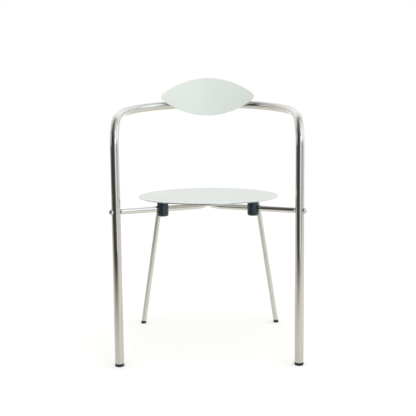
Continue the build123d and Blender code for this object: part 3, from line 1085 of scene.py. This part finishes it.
@dataclass
class Studio:
    """Pale floor, white cove behind the chair, dim room with windows round it, and a large soft box.

    A dim level is a place on the way from the dimmest direction to the opposite one, with the
    light there. A later panel covers an earlier one.
    """

    floor_radius: float = 4.5
    floor_steps: int = 96
    floor_colour: str = "#EFEBE1"
    # Colour of the far floor: painted shade, standing for the unlit floor of the dim room at the front
    # left
    floor_painted_shade_colour: str = "#4A4236"
    floor_roughness: float = 0.45
    floor_fade: Triple = (-0.35, -0.94, 0.0)
    fade_start: float = 0.25
    fade_end: float = 1.9
    cove_floor_colour: str = "#F2F2F0"
    cove_floor_lift: float = 0.2
    dim_azimuth: float = math.radians(-42.0)
    dim_height: float = math.radians(8.0)
    dim_levels: tuple[tuple[float, float], ...] = (
        (0.047, 0.06), (0.106, 0.12), (0.235, 0.24), (0.4, 0.36), (0.54, 0.46), (0.82, 0.78), (0.98, 1.05))
    dim_colour: str = "#FFF4E4"
    day_colour: str = "#F2F8FF"
    ceiling: Panel = Panel((-0.45, -0.15, 0.88), 5.0, 32.0, (0.13, 0.13, 0.13))
    skylight: Panel = Panel((0.53, -0.14, 0.84), 16.0, 38.0, (0.8, 0.82, 0.83))
    rear_wall: Panel = Panel((-0.7, 0.4, 0.59), 10.0, 28.0, (0.64, 0.64, 0.62))
    window: Panel = Panel((0.88, 0.03, 0.47), 15.0, 30.0, (1.2, 1.26, 1.33))
    front_window: Panel = Panel((0.58, -0.67, 0.45), 9.0, 19.0, (1.3, 1.4, 1.5))
    front_window_top: Panel = Panel((0.42, -0.54, 0.73), 6.0, 20.0, (1.2, 1.28, 1.36))
    side_box: Panel = Panel((-0.97, 0.03, 0.23), 8.0, 18.0, (0.82, 0.84, 0.86))
    cove: Panel = Panel((0, 1, 0), 45.6, 69.5, (1, 1, 1))
    key_place: Triple = (0.65, -1.78, 0.9)
    key_width: float = 1.05
    key_tall: float = 1.8
    key_radiance: float = 0.84
    key_colour: str = "#E2EFFF"
    soft_light: float = 0.93
    soft_slope: float = 0.34
    soft_toward: Triple = (0.35, -0.93, 0.1)

    def build(self) -> None:
        """Set up the floor, the walls and the lamp."""
        self.build_floor()
        self.build_walls()
        self.build_key()

    def build_floor(self) -> None:
        """Lay the floor: warm for the light, with painted shade that darkens it towards the dim front
        left, white with its shadow for the camera.
        """
        mesh = bpy.data.meshes.new("floor")
        turns = [2 * math.pi * step / self.floor_steps for step in range(self.floor_steps)]
        mesh.from_pydata([(self.floor_radius * math.cos(turn), self.floor_radius * math.sin(turn), 0)
                          for turn in turns], [], [tuple(range(self.floor_steps))])
        floor = put("floor", mesh)
        finish = bpy.data.materials.new("pale_paper_floor")
        tree = bare_tree(finish)
        place = add_node(tree, "ShaderNodeTexCoord")
        # Painted shade: the floor goes from its own colour to the dark far colour away from the chair,
        # towards the dim front left
        forward = add_node(tree, "ShaderNodeVectorMath", {
            0: place.outputs["Object"], 1: self.floor_fade}, operation="DOT_PRODUCT")
        away = add_node(tree, "ShaderNodeMapRange", {
            "Value": forward, "From Min": self.fade_start, "From Max": self.fade_end},
            interpolation_type="SMOOTHSTEP")
        warm = add_node(tree, "ShaderNodeMix", {
            "Factor": away, "A": linear(self.floor_colour), "B": linear(self.floor_painted_shade_colour)},
            data_type="RGBA")
        sheet = add_node(tree, "ShaderNodeBsdfPrincipled", {
            "Base Color": warm, "Roughness": self.floor_roughness})
        cove = add_node(tree, "ShaderNodeBsdfDiffuse", {"Color": linear(self.cove_floor_colour)})
        lift = add_node(tree, "ShaderNodeEmission", {"Strength": self.cove_floor_lift})
        lifted = add_node(tree, "ShaderNodeAddShader", {0: cove, 1: lift})
        path = add_node(tree, "ShaderNodeLightPath")
        seen = add_node(tree, "ShaderNodeMixShader", {
            "Fac": path.outputs["Is Camera Ray"], 1: sheet, 2: lifted})
        add_node(tree, "ShaderNodeOutputMaterial", {"Surface": seen})
        mesh.materials.append(finish)

    def build_walls(self) -> None:
        """Light the surroundings: white for the camera, a studio for metal, soft light for the rest."""
        world = bpy.data.worlds.new("studio")
        bpy.context.scene.world = world
        tree = bare_tree(world)
        toward = add_node(tree, "ShaderNodeTexCoord").outputs["Generated"]
        path = add_node(tree, "ShaderNodeLightPath")
        shown = add_node(tree, "ShaderNodeMix", {
            "Factor": path.outputs["Is Camera Ray"], "A": self.mirrored_room(tree, toward),
            "B": linear(WHITE)}, data_type="RGBA")
        clear = add_node(tree, "ShaderNodeMath", {
            0: path.outputs["Is Glossy Ray"], 1: path.outputs["Is Transmission Ray"]}, operation="MAXIMUM")
        any_view = add_node(tree, "ShaderNodeMath", {
            0: path.outputs["Is Camera Ray"], 1: clear}, operation="MAXIMUM")
        lean = add_node(tree, "ShaderNodeVectorMath", {
            0: toward, 1: self.soft_toward}, operation="DOT_PRODUCT")
        front = add_node(tree, "ShaderNodeMapRange", {
            "Value": lean, "From Min": -1.0, "From Max": 1.0,
            "To Min": self.soft_light - self.soft_slope, "To Max": self.soft_light + self.soft_slope})
        soft = add_node(tree, "ShaderNodeBackground", {"Color": linear(WHITE), "Strength": front})
        back = add_node(tree, "ShaderNodeBackground", {"Color": shown})
        seen = add_node(tree, "ShaderNodeMixShader", {"Fac": any_view, 1: soft, 2: back})
        add_node(tree, "ShaderNodeOutputWorld", {"Surface": seen})

    def mirrored_room(self, tree: NodeTree, toward: NodeSocket) -> Node:
        """Shade the room from its dim corner to the day, and set the panels in it.

        Args:
            tree: Node tree of the surroundings.
            toward: Direction that is looked in.

        Returns:
            The node that gives the light of that direction.
        """
        dim = (math.sin(self.dim_azimuth) * math.cos(self.dim_height),
               -math.cos(self.dim_azimuth) * math.cos(self.dim_height), math.sin(self.dim_height))
        facing = add_node(tree, "ShaderNodeVectorMath", {0: toward, 1: dim}, operation="DOT_PRODUCT")
        spread = add_node(tree, "ShaderNodeMapRange", {"Value": facing, "From Min": 1.0, "From Max": -1.0})
        walls = add_node(tree, "ShaderNodeValToRGB", {"Fac": spread})
        stops = walls.color_ramp.elements
        dusk, day = (Vector(linear(colour)[:3]) for colour in (self.dim_colour, self.day_colour))
        for place, _ in self.dim_levels[1:-1]:
            stops.new(place)
        for stop, (place, level) in zip(stops, self.dim_levels):
            stop.position = place
            stop.color = (*(dusk.lerp(day, place) * level), 1.0)
        for panel in (self.ceiling, self.skylight, self.rear_wall, self.window, self.front_window,
                      self.front_window_top, self.side_box, self.cove):
            near = add_node(tree, "ShaderNodeVectorMath", {
                0: toward, 1: Vector(panel.direction).normalized()}, operation="DOT_PRODUCT")
            within = add_node(tree, "ShaderNodeMapRange", {
                "Value": near, "From Min": math.cos(math.radians(panel.outer)),
                "From Max": math.cos(math.radians(panel.inner))}, interpolation_type="SMOOTHSTEP")
            walls = add_node(tree, "ShaderNodeMix", {
                "Factor": within, "A": walls, "B": (*panel.light, 1.0)}, data_type="RGBA")
        return walls

    def build_key(self) -> None:
        """Stand the large soft box at the front right."""
        data = bpy.data.lights.new("key_softbox", "AREA")
        data.shape = "RECTANGLE"
        data.size = self.key_width
        data.size_y = self.key_tall
        data.color = linear(self.key_colour)[:3]
        data.energy = self.key_radiance * math.pi * self.key_width * self.key_tall
        lamp = put("key_softbox", data)
        place = Vector(self.key_place)
        aim = Vector((0, 0, place.z)) - place
        lamp.matrix_world = Matrix.Translation(place) @ aim.to_track_quat("-Z", "Y").to_matrix().to_4x4()


def main() -> None:
    """Build the chair and its studio."""
    bpy.context.scene.view_settings.view_transform = "Standard"
    PhotoCamera().build()
    Studio().build()
    tubes = TubeFrame()
    seat, back_rest = Seat(), BackRest(tubes=tubes)
    for built in (tubes.build(), seat.build(), back_rest.build()):
        for piece in built:
            LOG.info("built %s from %d faces", piece.name, len(piece.data.polygons))
    for dressed in (seat.dress(), back_rest.dress(), Joints().dress(), Feet().dress()):
        for node in dressed:
            LOG.info("dressed %s in %s", node.name, node.data.materials[0].name)


if __name__ == "__main__":
    logging.basicConfig(level=logging.INFO)
    main()
